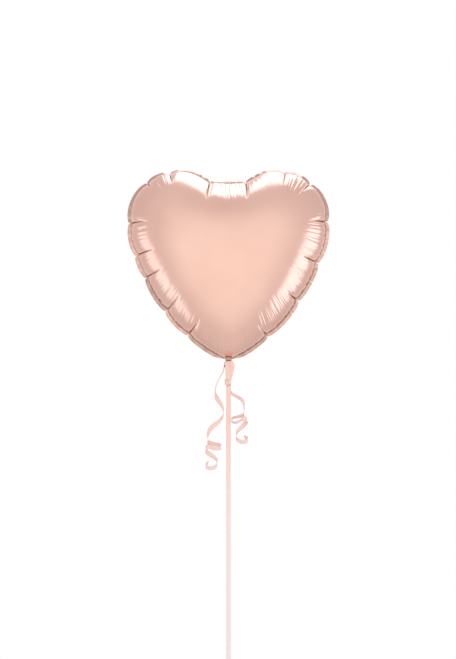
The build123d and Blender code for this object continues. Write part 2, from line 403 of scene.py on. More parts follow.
def panel_rings():
    """The plan (x, z) of every ring from the seam to the crown, closer together where it is steep."""
    deepest = math.acos(1 - DEEPEST_INSET / BODY_RADIUS)
    rings, insets = [], []
    for angle in np.linspace(0, deepest, STEEP_RINGS):
        insets.append(BODY_RADIUS * (1 - math.cos(angle)))
        rings.append(whole_outline(insets[-1])[0])
    for angle in np.linspace(deepest, math.pi / 2, CROWN_RINGS + 1)[1:-1]:
        shrink = math.cos(angle) / math.cos(deepest)
        insets.append(BODY_RADIUS * (1 - math.cos(angle)))
        rings.append(whole_outline(DEEPEST_INSET, shrink)[0])
    return np.array(rings), np.array(insets)


PLAN, INSETS = panel_rings()
RINGS = len(PLAN)
SEAM_NORMALS = whole_outline(0.0)[1]

# ---- The height of the inflated film ----

BULGE = 0.53  # 0.5 makes a round section, more is flatter near the seam
MOST_ROUNDS, SMALLEST_REST = 1500, 1e-18  # where the solving of the height stops


def plan_triangles(columns):
    """Triangles between the rings of a grid, and from the last ring to the middle point."""
    ring, column = np.meshgrid(np.arange(RINGS - 1), np.arange(columns), indexing="ij")
    a = (ring * columns + column).ravel()
    b = (ring * columns + (column + 1) % columns).ravel()
    c, d = a + columns, b + columns
    last = (RINGS - 1) * columns + np.arange(columns)
    pole = np.full(columns, RINGS * columns)
    fan = np.stack([last, np.roll(last, -1), pole], 1)
    return np.vstack([np.stack([a, b, d], 1), np.stack([a, d, c], 1), fan])


def stiffness(points, triangles):
    """Edges of the triangles with their cotangent weights, and the area at each point."""
    ends, weights = [], []
    area = np.zeros(len(points))
    for k in range(3):
        i, j, o = triangles[:, k], triangles[:, (k + 1) % 3], triangles[:, (k + 2) % 3]
        u, v = points[i] - points[o], points[j] - points[o]
        double = np.abs(u[:, 0] * v[:, 1] - u[:, 1] * v[:, 0])
        ends.append(np.stack([i, j], 1))
        weights.append(np.sum(u * v, 1) / np.maximum(double, 1e-12) / 2)
        area += np.bincount(i, double / 6, len(points))
    return np.vstack(ends), np.concatenate(weights), area


def film_height():
    """Height of a film held at the seam and blown up evenly, solved on one column in COARSE."""
    coarse = PLAN[:, ::COARSE]
    columns = coarse.shape[1]
    points = np.vstack([coarse.reshape(-1, 2), [[0, BODY_Z]]])
    edges, weights, load = stiffness(points, plan_triangles(columns))
    load[:columns] = 0.0
    size = len(points)
    diagonal = np.bincount(edges[:, 0], weights, size) + np.bincount(edges[:, 1], weights, size)

    def pull(height):
        """How far each point is from level with its neighbours, 0 at the seam."""
        flow = weights * (height[edges[:, 0]] - height[edges[:, 1]])
        total = np.bincount(edges[:, 0], flow, size) - np.bincount(edges[:, 1], flow, size)
        total[:columns] = 0.0
        return total

    height, rest = np.zeros(size), load.copy()
    step = rest / diagonal
    way, power = step.copy(), rest @ step
    for _ in range(MOST_ROUNDS):
        pulled = pull(way)
        stride = power / (way @ pulled)
        height += stride * way
        rest -= stride * pulled
        step = rest / diagonal
        new_power = rest @ step
        if new_power < SMALLEST_REST * (load @ load):
            break
        way = step + new_power / power * way
        power = new_power
    share = np.maximum(height, 0) / height.max()
    rows = HALF_DEPTH * share[:-1].reshape(RINGS, columns) ** BULGE
    return fill_columns(rows), HALF_DEPTH * share[-1] ** BULGE


def fill_columns(rows):
    """Values for every column from the coarse ones, by a smooth curve through them."""
    before, after, beyond = np.roll(rows, 1, 1), np.roll(rows, -1, 1), np.roll(rows, -2, 1)
    filled = np.zeros((rows.shape[0], rows.shape[1] * COARSE))
    for k in range(COARSE):
        t = k / COARSE
        slope_a, slope_b = (after - before) / 2, (beyond - rows) / 2
        filled[:, k::COARSE] = (
            (2 * t**3 - 3 * t**2 + 1) * rows
            + (t**3 - 2 * t**2 + t) * slope_a
            + (3 * t**2 - 2 * t**3) * after
            + (t**3 - t**2) * slope_b
        )
    return filled


HEIGHT, CROWN_HEIGHT = film_height()

# ---- Creases and puckers ----

CREASE_DEPTH, CREASE_HALF_WIDTH = 3.2 * MM, 6 * MM
FOLD_NARROWING = 0.6  # how much of its width a fold loses as it runs in
FOLD_FADE, FOLD_HOLD = 1.3, 1.5  # how fast it gets shallow, and how long it stays deep first
STEEP_SIDE, FLAT_SIDE = 0.7, 1.15  # a leaning fold lies over, so its sides aren't alike
SLIT_DEPTH, SLIT_HALF_WIDTH, SLIT_REACH, SLIT_FADE = 3.5 * MM, 0.75 * MM, 0.8, 0.6
SCALLOP, SCALLOP_RUN = 3.8 * MM, 24 * MM  # swelling between creases, and how far it runs in
FULL_SCALLOP_GAP = 70 * MM  # between creases where the swelling is full
SEAM_STRENGTH, SEAM_RUN = 0.3, 5 * MM  # puckers are weaker at the weld, over this distance
PUCKER_SPACING, PUCKER_JITTER = 4.0 * MM, 0.4
PUCKER_DEPTH, PUCKER_STRENGTH = 1.3 * MM, (0.4, 1.15)
PUCKER_LEAN, PUCKER_REACH, PUCKER_HALF_WIDTH = 0.06, (24, 54), (1.5, 2.7)  # reach and width in mm
# How deep the puckers are, by the share of half the seam. The left half is below 0.
PUCKER_SHARE = (
    (-1.0, 0.12), (-0.87, 0.15), (-0.82, 0.9), (-0.64, 1.0), (-0.6, 0.5), (-0.44, 0.7),
    (-0.41, 0.12), (-0.29, 0.12), (-0.27, 0.6), (-0.21, 0.6), (-0.19, 0.15), (-0.07, 0.15),
    (-0.05, 1.0), (0.05, 1.0), (0.07, 0.25), (0.18, 0.25), (0.2, 0.8), (0.28, 0.8), (0.3, 0.15),
    (0.41, 0.15), (0.44, 1.0), (0.84, 1.0), (0.88, 0.15), (1.0, 0.12),
)
# Fine straight pleats in the valley. Their ranges are in mm.
VALLEY_PLEATS, VALLEY_JITTER, VALLEY_REACH, VALLEY_DEPTH = 13, 0.8, (22, 34), (0.25, 0.6)
VALLEY_LEAN, VALLEY_HALF_WIDTH = 0.01, 1.1 * MM
# Pleats on each side of the tip, where the film is gathered. Places and reach are in mm.
NECK_PLEATS, NECK_FIRST, NECK_SPACING, NECK_JITTER = 7, 4, 9, 2
NECK_REACH, NECK_LEAN, NECK_DEPTH, NECK_HALF_WIDTH = (14, 34), 0.12, 0.9 * MM, 2.4 * MM
SWELLS, SWELL_LENGTH, SWELL_DEPTH = 6, (80, 150), 0.12 * MM  # waves of the taut film, lengths in mm


def main_creases():
    """Place along the seam, reach, strength and lean of every main crease, in order."""
    right = [(share * HALF_SEAM, reach * MM, *rest) for share, reach, *rest in RIGHT_CREASES]
    left = [(-share * HALF_SEAM, reach * MM, *rest) for share, reach, *rest in LEFT_CREASES]
    return sorted(right + left)


def seam_gap(place, lean, inset):
    """Signed distance along the seam from a crease that leans as it runs in."""
    period = 2 * HALF_SEAM
    gap = SEAM[None, :] - place - lean * inset[:, None]
    return (gap + HALF_SEAM) % period - HALF_SEAM


def fold(place, lean, reach, depth, half_width, inset):
    """Depth of one fold: a sharp valley that gets narrower and shallower as it runs in."""
    run = np.clip(inset / reach, 0, 1)[:, None]
    width = half_width * (1 - FOLD_NARROWING * run)
    gap = seam_gap(place, lean, inset)
    width = width * np.where(gap * lean > 0, STEEP_SIDE, FLAT_SIDE)
    fade = (1 - run) ** FOLD_FADE * (1 + FOLD_HOLD * run)
    return depth * fade * np.exp(-np.abs(gap) / width)


def slit(place, lean, reach, depth, inset):
    """Depth of the tight slit at the bottom of a main crease."""
    run = np.clip(inset / reach, 0, 1)[:, None]
    gap = seam_gap(place, lean, inset)
    return depth * (1 - run) ** SLIT_FADE * np.exp(-((gap / SLIT_HALF_WIDTH) ** 2))


def scallops(depth_in):
    """Swelling between neighbouring main creases."""
    places = [place for place, *_ in main_creases()] + [HALF_SEAM]
    places = np.array([places[-1] - 2 * HALF_SEAM] + places)
    at = np.where(SEAM >= places[-1], SEAM - 2 * HALF_SEAM, SEAM)
    number = np.clip(np.searchsorted(places, at, side="right") - 1, 0, len(places) - 2)
    gap = places[number + 1] - places[number]
    share = np.clip((at - places[number]) / gap, 0, 1)
    swell = np.sqrt(4 * share * (1 - share)) - 0.5
    size = SCALLOP * np.minimum(gap / FULL_SCALLOP_GAP, 1.0)
    return size * swell * np.exp(-((depth_in / SCALLOP_RUN) ** 2))


def along_seam(table, place):
    """A value from rows of (share of half the seam, value) at a distance from the valley."""
    shares, values = zip(*table)
    return np.interp(place / HALF_SEAM, shares, values)


def puckered(depth_in, inset, seed):
    """How far the film stands out of its smooth shape, all over the panel."""
    chance = np.random.default_rng(seed)
    out = scallops(depth_in)
    for place, reach, strength, lean in main_creases():
        out -= fold(place, lean, reach, CREASE_DEPTH * strength, CREASE_HALF_WIDTH, inset)
        out -= slit(place, lean, reach * SLIT_REACH, SLIT_DEPTH * strength, inset)
    start_in = np.clip(depth_in / SEAM_RUN, 0, 1)
    ramp = SEAM_STRENGTH + (1 - SEAM_STRENGTH) * start_in**2 * (3 - 2 * start_in)
    for k in range(int(2 * HALF_SEAM / PUCKER_SPACING)):
        place = (k + chance.uniform(-PUCKER_JITTER, PUCKER_JITTER)) * PUCKER_SPACING - HALF_SEAM
        lean = chance.uniform(-PUCKER_LEAN, PUCKER_LEAN)
        reach = chance.uniform(*PUCKER_REACH) * MM
        depth = PUCKER_DEPTH * chance.uniform(*PUCKER_STRENGTH) * along_seam(PUCKER_SHARE, place)
        half_width = chance.uniform(*PUCKER_HALF_WIDTH) * MM
        out -= ramp * fold(place, lean, reach, depth, half_width, inset)
    for k in range(VALLEY_PLEATS):
        place = ((k + 0.5) / VALLEY_PLEATS - 0.5) * 2 * RIGHT_CREASES[0][0] * HALF_SEAM
        place += chance.uniform(-VALLEY_JITTER, VALLEY_JITTER) * MM
        reach = chance.uniform(*VALLEY_REACH) * MM
        depth = chance.uniform(*VALLEY_DEPTH) * MM
        out -= ramp * fold(place, VALLEY_LEAN, reach, depth, VALLEY_HALF_WIDTH, inset)
    for side in (-1, 1):
        for k in range(NECK_PLEATS):
            from_tip = NECK_FIRST + NECK_SPACING * k + chance.uniform(-NECK_JITTER, NECK_JITTER)
            place = side * (HALF_SEAM - from_tip * MM)
            reach = chance.uniform(*NECK_REACH) * MM
            lean = -side * chance.uniform(0.0, NECK_LEAN)
            out -= ramp * fold(place, lean, reach, NECK_DEPTH, NECK_HALF_WIDTH, inset)
    return out


def slow_swell(points, seed):
    """A gentle unevenness of the taut film, far from the seam too."""
    chance = np.random.default_rng(seed)
    swell = np.zeros(points.shape[:-1])
    for _ in range(SWELLS):
        direction = chance.uniform(0, 2 * math.pi)
        wave = chance.uniform(*SWELL_LENGTH) * MM
        phase = chance.uniform(0, 2 * math.pi)
        along = points[..., 0] * math.cos(direction) + points[..., 2] * math.sin(direction)
        swell += np.sin(2 * math.pi * along / wave + phase)
    return swell * SWELL_DEPTH


# ---- The two panels ----

RIM_STEPS = (1.0, 0.8, 0.45, 0.2, 0.1, 0.03)  # shares of the rim's width, from its edge to the seam
RIM_WAVE, WAVE_LENGTHS = 1.1 * MM, (13, 17, 24, 37)  # the waves' lengths are in mm
KINK, KINK_WIDTH = 1.6, 5 * MM  # of the rim at a main crease, in units of its waves
RIM_NARROWS, RIM_NARROWEST = 26 * MM, 0.12  # before the tip, down to this share of its width
WAVE_ENDS = 20 * MM  # before the tip, where the waves start to die out
FULL_SWELL = 60 * MM  # from the seam, where the slow swell has its full size
FRONT_SEED, BACK_SEED, SEAM_SEED, RIM_SEED = 11, 23, 1, 3
RIM_LEAN, TOP_LEAN = math.radians(20), math.radians(35)  # the rim leans back, and more along the top
WELD_GAP = 0.12 * MM  # each film's distance from the middle plane at the rim
HALVINGS = (34, 46, 56)  # rings after which every second column ends
WELD_LINE = 0.9 * MM  # half the width of the weld line's painted shade at strength 1
WELD_DARKEST = 0.75
BACK_DARKNESS = 0.5  # the painted shade on the back panel is weaker by choice
FRONT_WIDEST, BACK_WIDEST = 4.5, 1.0  # the most that WELD_SHADE may give on each panel
RIM_TO_PANEL = 2.0  # the line reaches this many times further on the rim than on the panel
# Painted shade, set from the photograph: how dark and wide the shade painted along the weld line is, by
# the share of half the seam. The left half is below 0.
WELD_SHADE = (
    (-1.0, 0.9), (-0.76, 0.8), (-0.6, 0.35), (-0.3, 0.15), (-0.17, 0.6), (-0.15, 4.5),
    (-0.075, 4.5), (-0.06, 1.0), (-0.04, 2.0), (0.0, 3.5), (0.045, 3.5), (0.06, 1.2), (0.18, 1.1),
    (0.22, 1.2), (0.29, 0.3), (0.42, 0.8), (1.0, 1.0),
)
# Painted shade: the soft darker edge of the panel inside the weld, by the same share.
EDGE_FADE = 8 * MM
EDGE_SHADE = (
    (-1.0, 0.35), (-0.85, 0.5), (-0.6, 0.45), (-0.42, 0.2), (-0.25, 0.12), (-0.18, 0.0),
    (0.18, 0.0), (0.3, 0.15), (0.42, 0.25), (0.6, 0.4), (0.8, 0.55), (1.0, 0.35),
)
# How dark the rim's painted shade is, by the same share.
RIM_SHADE = (
    (-1.0, 0.9), (-0.86, 0.9), (-0.84, 0.3), (-0.75, 0.3), (-0.73, 1.0), (-0.62, 1.0), (-0.6, 0.4),
    (-0.44, 0.4), (-0.42, 1.0), (-0.25, 0.9), (-0.18, 0.5), (-0.06, 0.5), (0.06, 0.9), (0.18, 0.9),
    (0.25, 0.8), (0.42, 0.9), (0.44, 0.2), (0.56, 0.2), (0.58, 0.6), (0.84, 0.5), (0.87, 0.9),
    (1.0, 0.9),
)


def smooth_shape():
    """Points (x, -height, z) of the smooth front panel, ring by ring."""
    return np.stack([PLAN[..., 0], -HEIGHT - WELD_GAP, PLAN[..., 1]], -1)


def shape_normals(shape):
    """Outward normals of the rings."""
    along = np.roll(shape, -1, 1) - np.roll(shape, 1, 1)
    inward = np.gradient(shape, axis=0)
    return unit(np.cross(inward, along))


AT_SEAM = np.zeros(1)


def rim_wave(seed):
    """Slow waves of the rim out of its plane, with a kink at each main crease."""
    chance = np.random.default_rng(seed)
    wave = np.zeros(len(SEAM))
    for length in WAVE_LENGTHS:
        turns = round(2 * HALF_SEAM / (length * MM))
        phase = chance.uniform(0, 2 * math.pi)
        wave += np.sin(SEAM / (2 * HALF_SEAM) * turns * 2 * math.pi + phase) / 2
    for number, (place, *_) in enumerate(main_creases()):
        gap = seam_gap(place, 0.0, AT_SEAM)[0]
        wave += (-1) ** number * KINK * np.exp(-np.abs(gap) / KINK_WIDTH)
    return wave * RIM_WAVE


WAVE = rim_wave(RIM_SEED)


def rim_points(seam_row):
    """The welded rim outside the seam, narrower next to the neck."""
    to_tip = HALF_SEAM - np.abs(SEAM)
    width = RIM * np.clip(to_tip / RIM_NARROWS, RIM_NARROWEST, 1)
    lean = RIM_LEAN + TOP_LEAN * np.clip(SEAM_NORMALS[:, 1], 0, 1)
    rows = []
    for share in RIM_STEPS:
        row = seam_row.copy()
        out = width * share
        row[:, 0] += SEAM_NORMALS[:, 0] * out * np.cos(lean)
        row[:, 2] += SEAM_NORMALS[:, 1] * out * np.cos(lean)
        row[:, 1] += out * np.sin(lean) + WAVE * share * np.clip(to_tip / WAVE_ENDS, 0, 1)
        rows.append(row)
    return np.array(rows)


def panel_faces(steps, starts, columns, pole):
    """Faces between rings. They have five corners where a ring has half its outer one's columns."""
    faces = []
    for k in range(len(steps) - 1):
        wide, narrow = steps[k], steps[k + 1]
        count, inner = columns // wide, columns // narrow
        for j in range(inner):
            here, following = starts[k + 1] + j, starts[k + 1] + (j + 1) % inner
            if narrow == wide:
                outer = (starts[k] + j, starts[k] + (j + 1) % count)
            else:
                first = 2 * j
                outer = tuple(starts[k] + (first + n) % count for n in range(3))
            faces.append((*outer, following, here))
    count = columns // steps[-1]
    for j in range(count):
        faces.append((starts[-1] + j, starts[-1] + (j + 1) % count, pole))
    return faces


def store_shade(piece, name, values):
    """A painted-shade value for each point of the mesh, for the foil's colour to read."""
    piece.data.attributes.new(name, "FLOAT", "POINT").data.foreach_set("value", values)


def weld_shade(distances, widest):
    """Painted shade at distances from the weld line, as dark and wide as WELD_SHADE says."""
    strength = np.minimum(along_seam(WELD_SHADE, SEAM), widest)
    fade = np.exp(-((distances[:, None] / (WELD_LINE * strength)) ** 2))
    return np.clip(strength * WELD_DARKEST, 0, 1) * fade


def crease_shade(widest):
    """Painted shade on the panel's rings: at the weld line, along the soft edge and down in the main
    creases.
    """
    shade = weld_shade(INSETS * RIM_TO_PANEL, widest)
    shade += along_seam(EDGE_SHADE, SEAM) * np.exp(-INSETS[:, None] / EDGE_FADE)
    for place, reach, strength, lean in main_creases():
        shade += strength * slit(place, lean, reach * SLIT_REACH, 1.0, INSETS)
    return np.clip(shade, 0, 1)


def seam_line_shift():
    """The seam's own line: the same on both panels, so that their rims meet."""
    return puckered(np.zeros((1, len(SEAM))), AT_SEAM, SEAM_SEED)[0]


def shade_panel(panel, steps, strength, widest):
    """Stores the painted shade of the rim, the weld line and the creases, ring by ring."""
    count = len(panel.data.vertices)
    rim_count = len(RIM_STEPS) * len(SEAM)
    edge = np.zeros(count)
    edge[:rim_count] = np.tile(along_seam(RIM_SHADE, SEAM), len(RIM_STEPS))
    # The rim and fold values are painted shade that darkens the foil's colour.
    store_shade(panel, "rim", edge * strength)
    dark = np.concatenate([weld_shade(RIM * np.array(RIM_STEPS), widest), crease_shade(widest)])
    dark = np.concatenate([row[::step] for row, step in zip(dark, steps)] + [[0.0]])
    store_shade(panel, "fold", dark * strength)


def make_panel(name, seed, is_back):
    """One panel: the rim, the puckered band and the taut middle. The back one is turned over."""
    smooth = smooth_shape()
    runs = np.linalg.norm(np.diff(smooth, axis=0), axis=-1)
    depth_in = np.vstack([np.zeros((1, len(SEAM))), np.cumsum(runs, axis=0)])
    shape = smooth + shape_normals(smooth) * puckered(depth_in, INSETS, seed)[..., None]
    shape[..., 1] -= slow_swell(smooth, seed) * np.clip(depth_in / FULL_SWELL, 0, 1)
    shape[0] = smooth[0] + shape_normals(smooth)[0] * seam_line_shift()[:, None]
    rings = np.concatenate([rim_points(shape[0]), shape])
    steps = [2 ** sum(k - len(RIM_STEPS) > limit for limit in HALVINGS) for k in range(len(rings))]
    rows = [ring[::step] for ring, step in zip(rings, steps)]
    starts = np.cumsum([0] + [len(row) for row in rows])
    pole = [[0, -CROWN_HEIGHT, BODY_Z]]
    points = np.vstack(rows + [pole])
    faces = panel_faces(steps, [int(s) for s in starts[:-1]], len(SEAM), len(points) - 1)
    if is_back:
        points[:, 1] *= -1
        rim_count = len(RIM_STEPS) * len(SEAM)
        points[:rim_count, 1] = 2 * WELD_GAP - points[:rim_count, 1]
    else:
        faces = [face[::-1] for face in faces]
    panel = make_mesh(name, points, faces)
    if is_back:
        shade_panel(panel, steps, BACK_DARKNESS, BACK_WIDEST)
    else:
        shade_panel(panel, steps, 1.0, FRONT_WIDEST)
    return panel


front_panel = make_panel("front_panel", FRONT_SEED, False)
back_panel = make_panel("back_panel", BACK_SEED, True)

# ---- The neck, the tie and the knots ----

PLEATS_ROUND, PLEAT_UNEVEN = 11, 0.8  # pleats round the gathered neck, and how uneven they are
NECK_SHADE = 0.5  # how dark the painted shade is on the film where it goes into the tie
NECK_SECTIONS = (  # height, half width along x, half depth along y, pleat depth
    (12.0, 5.2, 8.6, 0.2),
    (9.5, 5.6, 7.2, 0.3),
    (7.5, 5.6, 6.0, 0.5),
    (6.0, 5.3, 5.6, 0.7),
    (4.6, 4.9, 5.2, 0.8),
    (3.2, 4.4, 4.3, 0.7),
    (-2.0, 4.2, 4.0, 0.6),
    (-4.5, 5.2, 3.4, 0.8),
    (-7.0, 6.6, 2.2, 0.8),
)


def sleeve(name, sections, around=132):
    """A pleated closed sleeve through flat rings."""
    angle = np.linspace(0, 2 * math.pi, around, endpoint=False)
    pleat = np.sin(PLEATS_ROUND * angle + PLEAT_UNEVEN * np.sin(2 * angle + 1))
    points = []
    for z, half_x, half_y, depth in sections:
        ring = [(half_x + depth * pleat) * np.cos(angle), (half_y + depth * pleat) * np.sin(angle)]
        points.append(np.stack([*ring, np.full(around, z)], 1) * MM)
    return make_mesh(name, np.vstack(points), tube_faces(len(sections), around, inside_out=True))


neck_film = sleeve("neck_film", NECK_SECTIONS)
# The film gathered into the tie gets painted shade through its fold value.
store_shade(neck_film, "fold", np.full(len(neck_film.data.vertices), NECK_SHADE))

TAIL_LINE = [(1.0, 0.9, -5.0), (0.9, 1.2, -12.0), (0.4, 1.0, -20.0), (0.0, 0.9, -29.5)]
TAIL_HALF_WIDTH, TAIL_TAPER = 6.6, 3.2  # mm, at the tie and lost on the way to the knot
TAIL_FOLD, TAIL_WAVES, TAIL_DEEPENS = 0.42 * MM, 4.5, 0.3  # its lengthwise folds
TAIL_HALF_THICKNESS = 0.15 * MM


def pleated_tail():
    """The flat end of the neck below the tie, folded lengthwise and drawn in at the knot."""
    line = smooth_line(np.array(TAIL_LINE) * MM)
    share = np.linspace(0, 1, len(line))
    across = np.linspace(-1, 1, 29)
    half_width = (TAIL_HALF_WIDTH - TAIL_TAPER * share) * MM
    fold_depth = TAIL_FOLD * np.sin(across * TAIL_WAVES * math.pi)
    x = line[:, 0, None] + half_width[:, None] * across
    y = line[:, 1, None] + fold_depth[None, :] * (1 + TAIL_DEEPENS * share[:, None])
    z = np.repeat(line[:, 2, None], len(across), 1)
    front = np.stack([x, y - TAIL_HALF_THICKNESS, z], -1)
    back = np.stack([x, y + TAIL_HALF_THICKNESS, z], -1)[:, ::-1]
    ring = np.concatenate([front, back], axis=1)
    return make_mesh("neck_tail", ring.reshape(-1, 3), tube_faces(*ring.shape[:2]))


neck_tail = pleated_tail()


BAND_POINTS = 48


def band(centre, half_x, half_y, tilt_x, tilt_z, start):
    """A line wound once round a knot or a neck, tilted, with the direction across a ribbon on it."""
    angle = np.linspace(0, 2 * math.pi, BAND_POINTS) + start
    x, y = half_x * np.cos(angle), half_y * np.sin(angle)
    z = x * math.tan(tilt_x) + y * math.tan(tilt_z)
    line = np.stack([x, y, z], 1) + centre
    radial = unit(np.stack([x / half_x**2, y / half_y**2, 0 * x], 1))
    tangent = unit(np.gradient(line, axis=0))
    return line, np.cross(radial, tangent)


def join(name, parts):
    """Several meshes as one piece."""
    points, faces = [], []
    for part in parts:
        shift = len(points)
        points += [tuple(v.co) for v in part.data.vertices]
        faces += [tuple(v + shift for v in face.vertices) for face in part.data.polygons]
        mesh = part.data
        bpy.data.objects.remove(part)
        bpy.data.meshes.remove(mesh)
    return make_mesh(name, points, faces)


NECK_BANDS = (  # half x, half y, tilt, width, x, z
    (6.6, 6.4, 0.10, 4.6, 0.0, 1.4),
    (7.2, 6.9, -0.14, 4.4, 0.0, -1.2),
    (7.7, 7.3, 0.22, 3.6, 0.0, 0.2),
)
KNOT_BANDS = (  # the same
    (4.9, 2.4, 0.38, 6.8, 0.0, 0.2),
    (5.4, 2.7, -0.55, 4.8, 0.2, 0.6),
    (4.0, 2.2, 0.08, 7.8, -0.1, -0.9),
)
BAND_CUP = 0.5 * MM


def wound_bands(name, bands, centre, pleats, askew, stagger):
    """Bunched turns of ribbon round one centre. A band's tilt to the front is its tilt over askew."""
    parts = []
    for number, (half_x, half_y, tilt, width, x, z) in enumerate(bands):
        middle = np.array(centre) + np.array((x, 0, z)) * MM
        line, side = band(middle, half_x * MM, half_y * MM, tilt, tilt / askew, number * stagger)
        turn = ribbon_strip(f"turn_{number}", line, side, width=width * MM, cup=BAND_CUP, pleats=pleats)
        parts.append(turn)
    return join(name, parts)


def tight_knot(name, centre):
    """A pulled-tight knot: bunched bands of ribbon crossing over each other."""
    return wound_bands(name, KNOT_BANDS, centre, pleats=0.3 * MM, askew=3, stagger=1.7)


binding = wound_bands("neck_binding", NECK_BANDS, (0, 0, 0), pleats=0.28 * MM, askew=-2, stagger=2.0)
knot = tight_knot("knot_ribbon", KNOT_CENTRE)
loop_knot = tight_knot("loop_knot_ribbon", LOOP_KNOT_CENTRE)

LEFT_STRAND = [(-3.4, -7.2, 2.0), (-1.6, -6.6, -5.0), (-1.3, -2.6, -13.0), (-0.4, -1.4, -32.0)]
RIGHT_STRAND = [
    (3.0, -6.6, 2.4), (6.4, -6.4, -0.5), (7.2, -4.8, -7.0), (5.6, -1.8, -14.0), (0.9, -0.8, -33.0),
]


def strand(name, points):
    """A length of ribbon from the tie to the knot, lying flat."""
    line = smooth_line(np.array(points) * MM)
    return ribbon_strip(name, line, same_side(line, (1, 0, 0)), cup=0.3 * MM)


left_strand = strand("left_strand_ribbon", LEFT_STRAND)
right_strand = strand("right_strand_ribbon", RIGHT_STRAND)

# ---- Materials ----


def new_material(name):
    """A node material, its nodes, a way to link them, its shader and the place on the object."""
    material = bpy.data.materials.new(name)
    material.use_nodes = True
    nodes, links = material.node_tree.nodes, material.node_tree.links
    place = nodes.new("ShaderNodeTexCoord").outputs["Object"]
    return material, nodes, links, nodes["Principled BSDF"], place


def add_noise(nodes, links, source, scale, detail=3.0):
    """A noise texture read at source."""
    noise = nodes.new("ShaderNodeTexNoise")
    noise.inputs["Scale"].default_value = scale
    noise.inputs["Detail"].default_value = detail
    links.new(source, noise.inputs["Vector"])
    return noise


def stretch(nodes, links, source, scale):
    """Coordinates scaled differently along each axis."""
    mapping = nodes.new("ShaderNodeMapping")
    mapping.inputs["Scale"].default_value = scale
    links.new(source, mapping.inputs["Vector"])
    return mapping.outputs["Vector"]


def spread(nodes, links, source, low, high, start=0.0, end=1.0):
    """A value between start and end spread from low to high."""
    node = nodes.new("ShaderNodeMapRange")
    node.inputs["From Min"].default_value = start
    node.inputs["From Max"].default_value = end
    node.inputs["To Min"].default_value = low
    node.inputs["To Max"].default_value = high
    links.new(source, node.inputs["Value"])
    return node.outputs["Result"]


def colour_ramp(nodes, links, source, stops):
    """A colour that changes along the source value."""
    ramp = nodes.new("ShaderNodeValToRGB")
    ramp.color_ramp.elements[0].position = stops[0][0]
    ramp.color_ramp.elements[0].color = (*stops[0][1], 1)
    ramp.color_ramp.elements[1].position = stops[-1][0]
    ramp.color_ramp.elements[1].color = (*stops[-1][1], 1)
    for place, colour in stops[1:-1]:
        ramp.color_ramp.elements.new(place).color = (*colour, 1)
    links.new(source, ramp.inputs["Fac"])
    return ramp.outputs["Color"]


def clouded(nodes, links, place, scale, deep, pale):
    """A colour that drifts between two tones."""
    cloud = add_noise(nodes, links, place, scale).outputs["Fac"]
    return colour_ramp(nodes, links, cloud, ((0.3, deep), (0.7, pale)))


def split(nodes, links, source):
    """The X, Y and Z of a place."""
    parts = nodes.new("ShaderNodeSeparateXYZ")
    links.new(source, parts.inputs["Vector"])
    return parts.outputs


def add_bump(nodes, links, source, shader, strength, distance):
    """Small relief on the shader's normal."""
    bump = nodes.new("ShaderNodeBump")
    bump.inputs["Strength"].default_value = strength
    bump.inputs["Distance"].default_value = distance
    links.new(source, bump.inputs["Height"])
    links.new(bump.outputs["Normal"], shader.inputs["Normal"])


def paint_shade_where(nodes, links, colour, attribute, other):
    """colour, turning into the other colour where a value stored on the mesh is 1."""
    stored = nodes.new("ShaderNodeAttribute")
    stored.attribute_name = attribute
    mix = nodes.new("ShaderNodeMix")
    mix.data_type = "RGBA"
    links.new(stored.outputs["Fac"], mix.inputs["Factor"])
    links.new(colour, mix.inputs[6])
    mix.inputs[7].default_value = (*other, 1)
    return mix.outputs[2]


FOIL_DEEP = (0.915, 0.575, 0.468)
FOIL_PALE = (0.965, 0.632, 0.520)
FOIL_PAINTED_SHADE = (0.24, 0.125, 0.08)  # the colour of the painted shade at the weld line, the soft edge, the creases and the neck
FOIL_RIM_PAINTED_SHADE = (0.65, 0.405, 0.335)  # and the colour of the rim's painted shade


def foil_material():
    """Satin rose-gold film, faintly clouded and grained, with painted shade at the rim, weld and
    creases.
    """
    material, nodes, links, shader, place = new_material("rose_foil")
    tint = clouded(nodes, links, place, 9.0, FOIL_DEEP, FOIL_PALE)
    # Painted shade: the rim, then the weld line, soft edge, creases and neck, darken the foil's colour.
    tint = paint_shade_where(nodes, links, tint, "rim", FOIL_RIM_PAINTED_SHADE)
    tint = paint_shade_where(nodes, links, tint, "fold", FOIL_PAINTED_SHADE)
    links.new(tint, shader.inputs["Base Color"])
    shader.inputs["Metallic"].default_value = 1.0
    grain = add_noise(nodes, links, place, scale=60.0).outputs["Fac"]
    links.new(spread(nodes, links, grain, low=0.19, high=0.27), shader.inputs["Roughness"])
    fine = add_noise(nodes, links, place, scale=700.0, detail=2.0).outputs["Fac"]
    add_bump(nodes, links, fine, shader, strength=0.05, distance=0.0002)
    return material


RIBBON_STOPS = (
    (0.0, (0.935, 0.800, 0.790)),
    (0.5, (0.945, 0.735, 0.680)),
    (0.8, (0.945, 0.640, 0.565)),
    (1.0, (0.945, 0.630, 0.530)),
)


